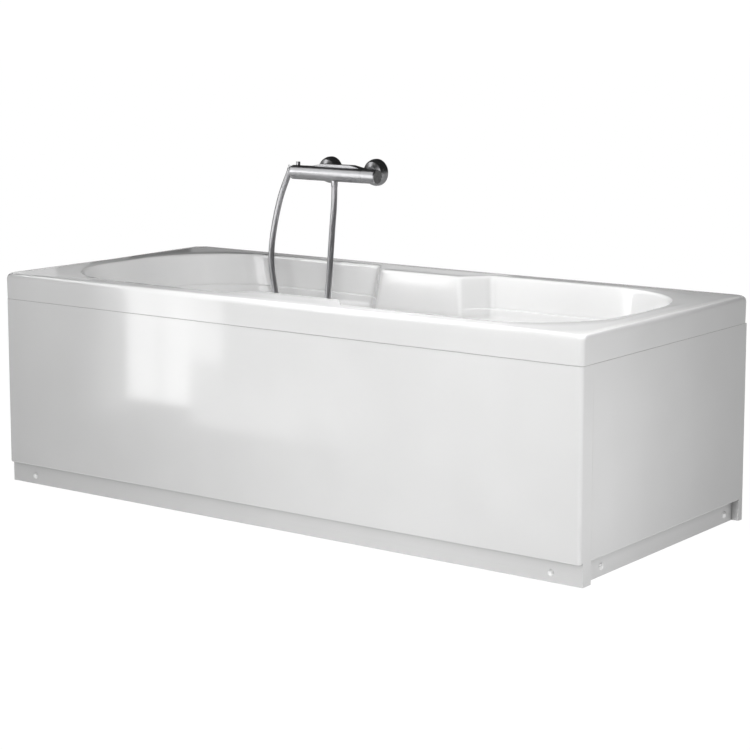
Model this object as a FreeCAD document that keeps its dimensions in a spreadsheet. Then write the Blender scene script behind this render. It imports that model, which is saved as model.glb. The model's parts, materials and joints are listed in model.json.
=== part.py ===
"""Bathtub of 1700 x 750 mm with apron panels, steel frame, waste set and wall mixer.

Frame: +Z up, +X along the tub from the backrest to the foot end, +Y from the open front to the wall.
The origin is on the floor under the middle of the tub. All lengths are millimetres.
"""
import FreeCAD, Part
import math
import os

import Sketcher

Vector = FreeCAD.Vector
Rotation = FreeCAD.Rotation

ALONG_X = Rotation(Vector(0, 1, 0), 90)
ALONG_Y = Rotation(Vector(1, 0, 0), -90)
ALONG_MINUS_X = Rotation(Vector(0, 1, 0), -90)
UPRIGHT = Rotation()

doc = FreeCAD.newDocument("Bathtub")

# Driving dimensions

DIMENSIONS = {
    # tub shell
    "tub_length": 1700,
    "tub_width": 750,
    "rim_height": 540,
    "shell_wall": 5,
    "skirt_depth": 64,
    "skirt_draft": 1,
    "plan_corner": 12,
    "rim_edge": 10,
    "rim_side": 65,
    "rim_end": 72,
    "end_flat": 140,
    "opening_edge": 8,
    "ledge_drop": 110,
    "side_lean": 15,
    "backrest_lean": 52,
    "foot_lean": 18,
    "ledge_end": 8,
    "ledge_width": 80,
    "basin_flat": 150,
    "floor_height": 130,
    "floor_side_lean": 25,
    "floor_backrest_lean": 218,
    "floor_foot_lean": 62,
    "floor_flat": 160,
    "floor_edge": 24,
    "ledge_edge": 6,
    "console_base": 350,
    "console_face": 240,
    "console_reach": 65,
    "console_lean": 12,
    "console_corner": 18,
    # apron panels
    "panel_wall": 4,
    "panel_setback": 1.5,
    "panel_seam": 1.5,
    "plinth_height": 52,
    "front_inset": 13,
    "end_inset": 18,
    "panel_floor_gap": 2,
    "panel_return": 48,
    "rear_post": 18,
    "tongue_rise": 24,
    "tongue_gap": 0.5,
    "tongue_relief": 14,
    "panel_corner": 8,
    "clip_width": 40,
    "clip_drop": 50,
    "clip_depth": 15,
    "clip_spread": 1000,
    "screw_height": 23,
    "screw_from_end": 80,
    "screw_from_front": 120,
    "screw_from_back": 60,
    "screw_radius": 2,
    "screw_length": 14,
    "screw_play": 0.3,
    "cap_radius": 7.5,
    "cap_height": 5,
    "bracket_wall": 3,
    "bracket_width": 30,
    "bracket_bottom": 10,
    # frame and feet
    "frame_tube": 25,
    "tube_wall": 2,
    "frame_gap": 15,
    "bearer_from_end": 100,
    "bearer_from_waste": 140,
    "board_thickness": 18,
    "board_from_end": 20,
    "board_from_waste": 90,
    "board_width": 300,
    "foot_inset": 150,
    "foot_radius": 25,
    "foot_thickness": 14,
    "stud_radius": 6,
    "stud_engagement": 7,
    "stud_play": 0.06,
    "stud_hole_play": 0.5,
    "foot_nut_height": 12,
    "foot_nut_radius": 11,
    # waste and overflow
    "waste_from_end": 170,
    "flange_radius": 36,
    "flange_thickness": 3,
    "neck_radius": 24.5,
    "neck_bore": 20,
    "neck_length": 34,
    "guide_radius": 9,
    "guide_height": 8,
    "guide_port": 4.5,
    "plug_radius": 30,
    "plug_thickness": 6,
    "plug_stem": 5,
    "plug_stem_length": 44,
    "running_play": 0.05,
    "rest_gap": 0.3,
    "seal_thickness": 3,
    "waste_body_radius": 36,
    "waste_body_height": 56,
    "pipe_radius": 14,
    "pipe_spigot": 17,
    "pipe_spigot_length": 18,
    "pipe_rise": 29,
    "pipe_bend": 115,
    "cable_radius": 3,
    "cable_boss": 5,
    "cable_side": 25,
    "overflow_drop": 62,
    "faceplate_radius": 35,
    "faceplate_thickness": 6,
    "overflow_neck": 20,
    "overflow_hole": 24,
    "overflow_slot": 4,
    "knob_disc_radius": 27,
    "knob_disc_thickness": 11,
    "knob_stem": 6,
    "elbow_radius": 33,
    "elbow_depth": 28,
    "elbow_spout": 16,
    "elbow_spout_length": 25,
    "tail_radius": 20,
    "tail_dip": 10,
    "trap_radius": 36,
    "trap_bottom": 5,
    "trap_nut_height": 18,
    "trap_neck": 24.5,
    "trap_wall": 3,
    "drain_radius": 20,
    "drain_rise": 22,
    "drain_reach": 310,
    "drain_spigot": 45,
    # mixer
    "mixer_left": 304.5,
    "mixer_height": 773,
    "bar_radius": 19,
    "inlet_spacing": 150,
    "bar_left_margin": 23,
    "bar_right_margin": 17,
    "saddle_behind": 13,
    "saddle_top_rise": 6,
    "saddle_bottom_rise": 1,
    "saddle_inset": 2,
    "saddle_taper": 45,
    "saddle_taper_drop": 9,
    "saddle_rounding": 8,
    "inlet_radius": 13,
    "inlet_length": 8,
    "cartridge_radius": 14,
    "cartridge_depth": 44,
    "handle_step": 0.2,
    "flow_handle_length": 46.5,
    "temperature_handle_length": 44,
    "handle_gap": 0.6,
    "handle_rounding": 4,
    "handle_wall": 3,
    "spindle_radius": 5,
    "spindle_length": 30,
    "button_radius": 4,
    "button_height": 7,
    "button_proud": 3,
    "button_play": 0.05,
    "outlet_offset": 4.5,
    "outlet_radius": 9.5,
    "outlet_length": 1.5,
    "water_bore": 6.5,
    "union_nut_radius": 17.3,
    "union_nut_length": 18,
    "union_gap": 2,
    "union_rise": 4,
    "union_radius": 10.48,
    "union_thread": 20,
    "washer_thickness": 2,
    "rosette_radius": 35.5,
    "rosette_depth": 30,
    "rosette_hub": 5,
    "rosette_nose": 15,
    "hose_radius": 8,
    "hose_nut_radius": 8.8,
    "hose_nut_length": 12,
    "cone_gap": 21.4,
    "cone_before_arm": 4,
    "cone_rise": 1,
    "cone_length": 14,
    "cone_top": 9.3,
    "cone_bore": 7,
    "cone_bore_depth": 8,
    "holder_ring": 12,
    "holder_ring_height": 8,
    "holder_gap": 1,
    "holder_arm": 10,
    "holder_arm_height": 16,
    "holder_knob": 5.85,
    "holder_knob_top": 25.5,
    "holder_knob_inset": 0.5,
}

sheet = doc.addObject("Spreadsheet::Sheet", "Sheet")
for row, (alias, number) in enumerate(DIMENSIONS.items(), start=1):
    sheet.set("A%d" % row, alias)
    sheet.set("B%d" % row, str(number))
    sheet.setAlias("B%d" % row, alias)
doc.recompute()


class Size:
    """A length held both as a number and as the formula that ties it to the sheet."""

    def __init__(self, value, formula):
        self.value = float(value)
        self.formula = formula

    def __add__(self, other):
        other = as_size(other)
        return Size(self.value + other.value, "(%s + %s)" % (self.formula, other.formula))

    def __sub__(self, other):
        other = as_size(other)
        return Size(self.value - other.value, "(%s - %s)" % (self.formula, other.formula))

    def __mul__(self, factor):
        factor = as_size(factor)
        return Size(self.value * factor.value, "(%s * %s)" % (self.formula, factor.formula))

    def __truediv__(self, divisor):
        divisor = as_size(divisor)
        return Size(self.value / divisor.value, "(%s / %s)" % (self.formula, divisor.formula))

    def __neg__(self):
        return Size(-self.value, "(0 - %s)" % self.formula)


def as_size(value):
    """A plain number as a Size."""
    if isinstance(value, Size):
        return value
    return Size(value, "(%r)" % float(value))


class Sizes:
    """The sheet's cells as attributes."""

    def __getattr__(self, alias):
        return Size(sheet.get(alias), "Sheet.%s" % alias)


s = Sizes()
ZERO = as_size(0)

half_length = s.tub_length / 2
half_width = s.tub_width / 2
deck_under = s.rim_height - s.shell_wall
skirt_edge = s.rim_height - s.skirt_depth
ledge_height = s.rim_height - s.ledge_drop
floor_under = s.floor_height - s.shell_wall


# Building blocks

def bind(item, path, size):
    """Tie one property of a document object to the sheet."""
    item.setExpression(path, size.formula)


def place(item, base, turn=UPRIGHT):
    """Put an object at a point whose coordinates follow the sheet."""
    base = [as_size(coordinate) for coordinate in base]
    item.Placement = FreeCAD.Placement(Vector(*[c.value for c in base]), turn)
    for letter, coordinate in zip("xyz", base):
        bind(item, "Placement.Base." + letter, coordinate)
    return item


def box(label, low, size, turn=UPRIGHT):
    """A block from its low corner and its three sizes."""
    block = doc.addObject("Part::Box", label)
    for name, length in zip(("Length", "Width", "Height"), size):
        bind(block, name, as_size(length))
    return place(block, low, turn)


def cylinder(label, base, radius, height, turn=UPRIGHT):
    """A round bar from the centre of its lower end."""
    bar = doc.addObject("Part::Cylinder", label)
    bind(bar, "Radius", as_size(radius))
    bind(bar, "Height", as_size(height))
    return place(bar, base, turn)


def hexagon(label, base, radius, height, turn=UPRIGHT):
    """A hexagonal bar from the centre of its lower end."""
    bar = doc.addObject("Part::Prism", label)
    bar.Polygon = 6
    bind(bar, "Circumradius", as_size(radius))
    bind(bar, "Height", as_size(height))
    return place(bar, base, turn)


def fuse(label, pieces):
    """Several solids joined into one."""
    joined = doc.addObject("Part::MultiFuse", label)
    joined.Shapes = pieces
    joined.Refine = True
    return joined


def cut(label, base, tools):
    """A solid with other solids taken out of it."""
    tool = tools[0] if len(tools) == 1 else fuse(label + "_tools", tools)
    result = doc.addObject("Part::Cut", label)
    result.Base = base
    result.Tool = tool
    return result


def group(label, pieces):
    """Like pieces that share one node."""
    together = doc.addObject("Part::Compound", label)
    together.Links = pieces
    return together


def new_body(label):
    return doc.addObject("PartDesign::Body", label)


def new_sketch(body, name, role="XY_Plane", offset=ZERO):
    """A sketch on one of the body's origin planes, moved along the plane's normal."""
    sketch = body.newObject("Sketcher::SketchObject", name)
    plane = [item for item in body.Origin.OriginFeatures if item.Role == role][0]
    sketch.AttachmentSupport = [(plane, "")]
    sketch.MapMode = "FlatFace"
    bind(sketch, "AttachmentOffset.Base.z", as_size(offset))
    return sketch


def constrain(sketch, size, kind, *where):
    """A dimension of the sketch that follows the sheet."""
    index = sketch.addConstraint(Sketcher.Constraint(kind, *where, size.value))
    bind(sketch, "Constraints[%d]" % index, size)


def pin_coordinate(sketch, kind, axis, line, end, size):
    """Hold one coordinate of a line's end; a zero lies on the sketch axis."""
    if abs(size.value) < 1e-9:
        sketch.addConstraint(Sketcher.Constraint("PointOnObject", line, end, axis))
    elif size.value > 0:
        constrain(sketch, size, kind, -1, 1, line, end)
    else:
        constrain(sketch, -size, kind, line, end, -1, 1)


def draw_outline(sketch, points):
    """A closed outline of straight lines whose corners follow the sheet."""
    points = [(as_size(x), as_size(y)) for x, y in points]
    corners = [Vector(x.value, y.value, 0) for x, y in points]
    count = len(corners)
    first = sketch.GeometryCount
    for index in range(count):
        sketch.addGeometry(Part.LineSegment(corners[index], corners[(index + 1) % count]), False)
    for index in range(count):
        following = first + (index + 1) % count
        sketch.addConstraint(Sketcher.Constraint("Coincident", first + index, 2, following, 1))
    for index, (x, y) in enumerate(points):
        pin_coordinate(sketch, "DistanceX", -2, first + index, 1, x)
        pin_coordinate(sketch, "DistanceY", -1, first + index, 1, y)
    return sketch


def draw_rectangle(sketch, half_x, half_y):
    """A rectangle about the sketch's origin."""
    return draw_outline(sketch, [(-half_x, -half_y), (half_x, -half_y), (half_x, half_y), (-half_x, half_y)])


def draw_circle(sketch, radius, x=ZERO, y=ZERO):
    """A circle whose centre and radius follow the sheet."""
    index = sketch.addGeometry(Part.Circle(Vector(x.value, y.value, 0), Vector(0, 0, 1), radius.value), False)
    constrain(sketch, radius, "Radius", index)
    pin_coordinate(sketch, "DistanceX", -2, index, 3, x)
    pin_coordinate(sketch, "DistanceY", -1, index, 3, y)
    return sketch


def draw_rounded(sketch, left, right, half_y, corner):
    """A rectangle with round corners, from left to right and symmetric about the X axis."""
    x0, x1, y1, r = left.value, right.value, half_y.value, corner.value
    lines = [
        ((x0 + r, -y1), (x1 - r, -y1)),
        ((x1, -y1 + r), (x1, y1 - r)),
        ((x1 - r, y1), (x0 + r, y1)),
        ((x0, y1 - r), (x0, -y1 + r)),
    ]
    centres = [(x1 - r, -y1 + r), (x1 - r, y1 - r), (x0 + r, y1 - r), (x0 + r, -y1 + r)]
    quarter = math.pi / 2
    for index, ((start, end), centre) in enumerate(zip(lines, centres)):
        sketch.addGeometry(Part.LineSegment(Vector(*start, 0), Vector(*end, 0)), False)
        circle = Part.Circle(Vector(*centre, 0), Vector(0, 0, 1), r)
        sketch.addGeometry(Part.ArcOfCircle(circle, (index - 1) * quarter, index * quarter), False)
    for index in range(8):
        sketch.addConstraint(Sketcher.Constraint("Tangent", index, 2, (index + 1) % 8, 1))
    for index in (0, 4):
        sketch.addConstraint(Sketcher.Constraint("Horizontal", index))
        sketch.addConstraint(Sketcher.Constraint("Vertical", index + 2))
    for index in (1, 3, 5):
        sketch.addConstraint(Sketcher.Constraint("Equal", index, index + 2))
    constrain(sketch, corner, "Radius", 1)
    constrain(sketch, right, "DistanceX", -1, 1, 2, 1)
    constrain(sketch, -left, "DistanceX", 6, 1, -1, 1)
    constrain(sketch, half_y, "DistanceY", -1, 1, 4, 1)
    constrain(sketch, half_y, "DistanceY", 0, 1, -1, 1)
    return sketch


def rounded_at(body, name, height, left, right, half_y, corner):
    """A round-cornered rectangle at a height of the body."""
    return draw_rounded(new_sketch(body, name, "XY_Plane", height), left, right, half_y, corner)


def outline_at(body, name, height, points):
    """A straight-sided outline at a height of the body."""
    return draw_outline(new_sketch(body, name, "XY_Plane", height), points)


def pad(body, name, sketch, length, reverse=False, kind="PartDesign::Pad"):
    """Add, or with a Pocket remove, the sketch's outline over a length."""
    feature = body.newObject(kind, name)
    feature.Profile = sketch
    bind(feature, "Length", as_size(length))
    feature.Reversed = reverse
    return feature


def pocket(body, name, sketch, length, reverse=False):
    """Remove the sketch's outline over a length."""
    return pad(body, name, sketch, length, reverse, "PartDesign::Pocket")


def loft(body, name, top, bottom, kind="PartDesign::AdditiveLoft"):
    """Straight walls from one outline to another."""
    feature = body.newObject(kind, name)
    feature.Profile = top
    feature.Sections = [bottom]
    feature.Ruled = True
    return feature


def round_edges(body, name, radius, wanted):
    """Round the edges of the body's last feature that the test picks."""
    doc.recompute()
    base = body.Tip
    names = ["Edge%d" % (n + 1) for n, edge in enumerate(base.Shape.Edges) if wanted(edge.BoundBox)]
    feature = body.newObject("PartDesign::Fillet", name)
    feature.Base = (base, names)
    bind(feature, "Radius", as_size(radius))
    return feature


def turned(label, profile, base, turn=UPRIGHT):
    """A round piece turned about its own Z axis from (radius, height) corners."""
    body = new_body(label)
    sketch = draw_outline(new_sketch(body, label + "_profile", "XZ_Plane"), profile)
    feature = body.newObject("PartDesign::Revolution", label + "_turned")
    feature.Profile = sketch
    feature.ReferenceAxis = (sketch, ["V_Axis"])
    feature.Angle = 360
    return place(body, base, turn)


def ring_of_ports(body, name, radius, ring_radius, start, depth):
    """Six round ports through a turned piece, evenly about its axis."""
    sketch = draw_circle(new_sketch(body, name + "_port", "XY_Plane", start), radius, ring_radius)
    port = pocket(body, name + "_port_cut", sketch, depth, reverse=True)
    ring = body.newObject("PartDesign::PolarPattern", name + "_ports")
    ring.Originals = [port]
    ring.Axis = (sketch, ["N_Axis"])
    ring.Angle = 360
    ring.Occurrences = 6
    body.Tip = ring


def square_tube(label, base, length, turn=UPRIGHT):
    """A length of square steel tube from the centre of its first end."""
    body = new_body(label)
    half = s.frame_tube / 2
    sketch = draw_rectangle(new_sketch(body, label + "_section"), half, half)
    draw_rectangle(sketch, half - s.tube_wall, half - s.tube_wall)
    pad(body, label + "_length", sketch, length)
    return place(body, base, turn)


def level(bounds, height):
    """Whether an edge lies wholly at one height."""
    return abs(bounds.ZMin - height.value) < 0.01 and abs(bounds.ZMax - height.value) < 0.01


def rounded_path(points, radii):
    """A wire of straight runs joined by tangent arcs."""
    edges = []
    last = points[0]
    for before, corner, after, radius in zip(points, points[1:], points[2:], radii):
        back = (before - corner).normalize()
        ahead = (after - corner).normalize()
        half_turn = (math.pi - back.getAngle(ahead)) / 2
        reach = radius * math.tan(half_turn)
        start = corner + back * reach
        end = corner + ahead * reach
        middle_way = (back + ahead).normalize()
        middle = corner + middle_way * (radius / math.cos(half_turn) - radius)
        edges.append(Part.LineSegment(last, start).toShape())
        edges.append(Part.Arc(start, middle, end).toShape())
        last = end
    edges.append(Part.LineSegment(last, points[-1]).toShape())
    return Part.Wire(edges)


def cord_radii(points):
    """The largest even bend that each corner's two runs leave room for."""
    radii = []
    for before, corner, after in zip(points, points[1:], points[2:]):
        half_turn = (math.pi - (before - corner).getAngle(after - corner)) / 2
        shorter = min((before - corner).Length, (after - corner).Length)
        radii.append(0.45 * shorter / math.tan(half_turn))
    return radii


def tube(label, points, radii, radius):
    """A round cord or pipe swept along runs and arcs."""
    path = rounded_path(points, radii)
    section = Part.Wire(Part.makeCircle(radius, points[0], points[1] - points[0]))
    shape = path.makePipeShell([section], True, False)
    expected = math.pi * radius ** 2 * path.Length
    print("%s: length %.0f mm, tightest bend %.0f mm, volume %.4f of section times length"
          % (label, path.Length, min(radii), shape.Volume / expected))
    piece = doc.addObject("Part::Feature", label)
    piece.Shape = shape
    return piece


# Tub shell: a formed acrylic sheet with a rim, consoles, armrest ledges and a sloped backrest

opening_left = -(half_length - s.rim_end)
opening_right = half_length - s.rim_end
opening_side = half_width - s.rim_side
opening_corner = opening_side - s.end_flat / 2
ledge_left = opening_left + s.backrest_lean
ledge_right = opening_right - s.foot_lean
ledge_side = opening_side - s.side_lean
basin_left = ledge_left + s.ledge_end
basin_right = ledge_right - s.ledge_end
basin_side = ledge_side - s.ledge_width
basin_corner = basin_side - s.basin_flat / 2
floor_corner = basin_side - s.floor_side_lean - s.floor_flat / 2
basin_depth = ledge_height - s.floor_height
floor_left = basin_left + s.floor_backrest_lean
floor_right = basin_right - s.floor_foot_lean
waste_x = floor_right - s.waste_from_end


def rim_outline(share, inset):
    """The rim's outline at a share of the skirt's depth, from the rim down, set inwards."""
    shrink = s.skirt_draft * share + inset
    return (
        -(half_length - shrink),
        half_length - shrink,
        half_width - shrink,
        s.plan_corner - shrink,
    )


def upper_outline(share, grow):
    """The wall above the ledge at a share of its drop, from the rim down, grown outwards."""
    return (
        opening_left + s.backrest_lean * share - grow,
        opening_right - s.foot_lean * share + grow,
        opening_side - s.side_lean * share + grow,
        opening_corner - s.side_lean * share + grow,
    )


def lower_outline(share, grow):
    """The basin's wall at a share of its depth, from the ledge down, grown outwards."""
    return (
        basin_left + s.floor_backrest_lean * share - grow,
        basin_right - s.floor_foot_lean * share + grow,
        basin_side - s.floor_side_lean * share + grow,
        basin_corner - (basin_corner - floor_corner) * share + grow,
    )


def console_outline(sign, base_y, face_y, half_base, half_face):
    """The plan of a console, wide at the tub's side and narrow at its face."""
    return [
        (-half_base, base_y * sign),
        (half_base, base_y * sign),
        (half_face, face_y * sign),
        (-half_face, face_y * sign),
    ]


def add_console(body, side, sign):
    """A hollow console on one side, from the rim down to the ledge."""
    wall = s.shell_wall
    root = s.opening_edge + 2
    half_base = s.console_base / 2
    half_face = s.console_face / 2
    face_y = opening_side - s.console_reach
    low_face_y = face_y - s.console_lean
    loft(
        body, "console_" + side,
        outline_at(body, side + "_console_top", s.rim_height,
                   console_outline(sign, opening_side + root, face_y, half_base, half_face)),
        outline_at(body, side + "_console_foot", ledge_height,
                   console_outline(sign, ledge_side + root, low_face_y,
                                   half_base + s.console_lean, half_face + s.console_lean)),
    )

    def upright_corner(bounds):
        """The console's two tall corners towards the basin."""
        inside = abs(bounds.Center.y) < opening_side.value - s.console_reach.value / 2
        tall = abs(bounds.ZLength - s.ledge_drop.value) < 0.1
        middle = abs(bounds.Center.x) < half_base.value
        return tall and inside and middle and bounds.Center.y * sign > 0

    round_edges(body, side + "_console_corners", s.console_corner, upright_corner)
    loft(
        body, "console_hollow_" + side,
        outline_at(body, side + "_hollow_top", deck_under,
                   console_outline(sign, opening_side + root * 2, face_y + wall,
                                   half_base - wall, half_face - wall * 1.5)),
        outline_at(body, side + "_hollow_foot", ledge_height - wall,
                   console_outline(sign, ledge_side + root * 2, low_face_y + wall,
                                   half_base + s.console_lean - wall,
                                   half_face + s.console_lean - wall * 1.5)),
        "PartDesign::SubtractiveLoft",
    )


def make_shell():
    """The tub shell in one piece."""
    body = new_body("tub_shell")
    wall = s.shell_wall
    inside = "PartDesign::SubtractiveLoft"
    loft(body, "rim",
         rounded_at(body, "rim_outline", s.rim_height, *rim_outline(ZERO, ZERO)),
         rounded_at(body, "skirt_outline", skirt_edge, *rim_outline(as_size(1), ZERO)))
    loft(body, "rim_hollow",
         rounded_at(body, "deck_outline", deck_under, *rim_outline(wall / s.skirt_depth, wall)),
         rounded_at(body, "under_rim", skirt_edge, *rim_outline(as_size(1), wall)),
         inside)

    loft(body, "upper_outside",
         rounded_at(body, "upper_outside_top", deck_under + wall / 2,
                    *upper_outline(wall / 2 / s.ledge_drop, wall)),
         rounded_at(body, "upper_outside_foot", ledge_height - wall,
                    *upper_outline(wall / s.ledge_drop + 1, wall)))
    loft(body, "lower_outside",
         rounded_at(body, "lower_outside_top", ledge_height, *lower_outline(ZERO, wall)),
         rounded_at(body, "lower_outside_foot", floor_under, *lower_outline(wall / basin_depth + 1, wall)))
    loft(body, "upper_inside",
         rounded_at(body, "opening", s.rim_height, *upper_outline(ZERO, ZERO)),
         rounded_at(body, "ledge_outline", ledge_height, *upper_outline(as_size(1), ZERO)),
         inside)
    loft(body, "lower_inside",
         rounded_at(body, "basin_outline", ledge_height, *lower_outline(ZERO, ZERO)),
         rounded_at(body, "floor_outline", s.floor_height, *lower_outline(as_size(1), ZERO)),
         inside)

    def on_rim_outside(bounds):
        across = max(abs(bounds.YMin), abs(bounds.YMax)) > opening_side.value + s.rim_side.value / 2
        along = max(abs(bounds.XMin), abs(bounds.XMax)) > opening_right.value + s.rim_end.value / 2
        return level(bounds, s.rim_height) and (across or along)

    def on_opening(bounds):
        return level(bounds, s.rim_height) and not on_rim_outside(bounds)

    def on_ledge_lip(bounds):
        across = max(abs(bounds.YMin), abs(bounds.YMax)) < ledge_side.value - s.ledge_width.value / 2
        left = bounds.XMin > ledge_left.value + s.ledge_end.value / 2
        right = bounds.XMax < ledge_right.value - s.ledge_end.value / 2
        return level(bounds, ledge_height) and across and left and right

    def on_floor(bounds):
        return level(bounds, s.floor_height)

    round_edges(body, "rim_rounding", s.rim_edge, on_rim_outside)
    round_edges(body, "opening_rounding", s.opening_edge, on_opening)
    round_edges(body, "lip_rounding", s.ledge_edge, on_ledge_lip)
    round_edges(body, "floor_rounding", s.floor_edge, on_floor)
    for side, sign in (("front", -1), ("back", 1)):
        add_console(body, side, sign)

    waste_hole = draw_circle(new_sketch(body, "waste_hole_outline", "XY_Plane", s.floor_height),
                             s.neck_radius + s.rest_gap, waste_x)
    pocket(body, "waste_hole", waste_hole, wall * 2)
    overflow_outline = draw_circle(new_sketch(body, "overflow_hole_outline", "YZ_Plane", ledge_right - wall),
                                   s.overflow_hole, ZERO, s.rim_height - s.overflow_drop)
    pocket(body, "overflow_hole", overflow_outline, s.foot_lean + wall * 4, reverse=True)
    return body


# Apron panels: formed sheets with a stepped plinth and a tongue behind the rim's skirt

seam_height = skirt_edge - s.panel_seam
tongue_top = skirt_edge + s.tongue_rise
front_face = half_width - s.panel_setback
front_plinth = front_face - s.front_inset
end_face = half_length - s.panel_setback
end_plinth = end_face - s.end_inset
tongue_face = s.shell_wall - s.panel_setback + s.skirt_draft + s.tongue_gap
panel_rear = half_width - s.panel_setback


def panel_section(face, plinth, outward):
    """The panel's section: face, step, plinth and the tongue behind the skirt."""
    wall = s.panel_wall
    tongue = face - tongue_face
    corners = [
        (face, seam_height),
        (face, s.plinth_height),
        (plinth, s.plinth_height),
        (plinth, s.panel_floor_gap),
        (plinth - wall, s.panel_floor_gap),
        (plinth - wall, s.plinth_height + wall),
        (face - wall, s.plinth_height + wall),
        (face - wall, seam_height - wall),
        (tongue - wall, seam_height - wall),
        (tongue - wall, tongue_top),
        (tongue, tongue_top),
        (tongue, seam_height),
    ]
    return [(across * outward, up) for across, up in corners]


def screw_hole(label, base, turn):
    """The clearance hole for a panel screw, through the plinth and its bracket."""
    return cylinder(label, base, s.screw_radius + s.screw_play, s.screw_length * 2, turn)


def screw_places():
    """Where the four plinth screws are: name, point on the plinth's face, outward turn."""
    out_front = Rotation(Vector(1, 0, 0), 90)
    return [
        ("front_left", (-(half_length - s.screw_from_end), -front_plinth, s.screw_height), out_front),
        ("front_right", (half_length - s.screw_from_end, -front_plinth, s.screw_height), out_front),
        ("end_front", (end_plinth, -(half_width - s.screw_from_front), s.screw_height), ALONG_X),
        ("end_back", (end_plinth, half_width - s.screw_from_back, s.screw_height), ALONG_X),
    ]


def inward(point, turn, distance):
    """A point moved inwards along a screw's axis."""
    axis = turn.multVec(Vector(0, 0, 1))
    return tuple(as_size(c) - as_size(distance) * round(a) for c, a in zip(point, (axis.x, axis.y, axis.z)))


def make_front_panel():
    """The front panel with a return round each end."""
    body = new_body("front_sheet")
    section = draw_outline(new_sketch(body, "front_section", "YZ_Plane", -end_face),
                           panel_section(front_face, front_plinth, -1))
    pad(body, "front_sheet_length", section, end_face * 2)
    return_edge = -(half_width - s.panel_return)
    return_outline = [
        (-front_face, seam_height),
        (-front_face, s.plinth_height),
        (-front_plinth, s.plinth_height),
        (-front_plinth, s.panel_floor_gap),
        (return_edge, s.panel_floor_gap),
        (return_edge, seam_height),
    ]
    for side, start in (("left", -end_face), ("right", end_face - s.panel_wall)):
        sketch = draw_outline(new_sketch(body, side + "_return_outline", "YZ_Plane", start), return_outline)
        pad(body, side + "_return", sketch, s.panel_wall)

    relief = new_sketch(body, "tongue_relief_outline", "XY_Plane", seam_height)
    for sign in (-1, 1):
        inner_x = (end_face - s.tongue_relief) * sign
        outer_x = half_length * sign
        draw_outline(relief, [(inner_x, -half_width), (outer_x, -half_width),
                              (outer_x, return_edge), (inner_x, return_edge)])
    pocket(body, "tongue_relief_cut", relief, tongue_top - seam_height, reverse=True)

    def face_corner(bounds):
        upright = bounds.ZLength > s.plinth_height.value * 2 and bounds.XLength < 0.1
        return upright and bounds.YMax < -front_face.value + 0.1 and abs(bounds.XMax) > end_face.value - 0.1

    round_edges(body, "front_corners", s.panel_corner, face_corner)

    def step_edge(bounds):
        along = bounds.XLength > end_face.value
        return along and level(bounds, s.plinth_height) and bounds.YMax < -front_plinth.value - 1

    round_edges(body, "front_step", s.panel_wall, step_edge)
    holes = [screw_hole(name + "_hole", inward(point, turn, s.screw_length), turn)
             for name, point, turn in screw_places()[:2]]
    return cut("front_panel", body, holes)


def make_end_panel():
    """The panel at the foot end, its plinth recessed between the front return and a rear post."""
    body = new_body("end_sheet")
    front_edge = half_width - s.panel_return - s.rest_gap
    section = draw_outline(new_sketch(body, "end_section", "XZ_Plane", -panel_rear),
                           panel_section(end_face, end_plinth, 1))
    pad(body, "end_sheet_length", section, panel_rear + front_edge)
    post = draw_outline(
        new_sketch(body, "rear_post_outline", "XZ_Plane", -panel_rear),
        [(end_plinth - s.panel_wall, s.panel_floor_gap), (end_face, s.panel_floor_gap),
         (end_face, s.plinth_height + s.panel_wall), (end_plinth - s.panel_wall, s.plinth_height + s.panel_wall)])
    pad(body, "rear_post_length", post, s.rear_post)
    relief = draw_outline(
        new_sketch(body, "end_relief_outline", "XY_Plane", seam_height),
        [(end_plinth, panel_rear - s.tongue_relief), (half_length, panel_rear - s.tongue_relief),
         (half_length, half_width), (end_plinth, half_width)])
    pocket(body, "end_relief", relief, tongue_top - seam_height, reverse=True)

    def step_edge(bounds):
        along = bounds.YLength > panel_rear.value
        return along and level(bounds, s.plinth_height) and bounds.XMin > end_face.value - 0.1

    round_edges(body, "end_step", s.panel_wall, step_edge)
    holes = [screw_hole(name + "_hole", inward(point, turn, s.screw_length), turn)
             for name, point, turn in screw_places()[2:]]
    return cut("end_panel", body, holes)


def make_panel_fixings():
    """Screws, caps, plinth brackets and the clips under the rim."""
    screws = []
    caps = []
    brackets = []
    for name, point, turn in screw_places():
        shank = cylinder(name + "_shank", inward(point, turn, s.screw_length), s.screw_radius,
                         s.screw_length, turn)
        head = cylinder(name + "_head", point, s.screw_radius * 2, s.cap_height / 2, turn)
        screws.append(fuse(name + "_screw", [shank, head]))
        caps.append(turned(name + "_cap", [
            (s.screw_radius * 2 + s.rest_gap, 0),
            (s.cap_radius, 0),
            (s.cap_radius, s.cap_height / 4),
            (s.cap_radius * 0.75, s.cap_height * 0.8),
            (s.cap_radius * 0.35, s.cap_height),
            (0, s.cap_height),
            (0, s.cap_height / 2 + s.rest_gap),
            (s.screw_radius * 2 + s.rest_gap, s.cap_height / 2 + s.rest_gap),
        ], point, turn))
        brackets.append(make_bracket(name, point, turn))
    group("panel_screws", screws)
    group("screw_caps", caps)
    group("plinth_brackets", brackets)
    group("panel_clips", make_clips())


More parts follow.
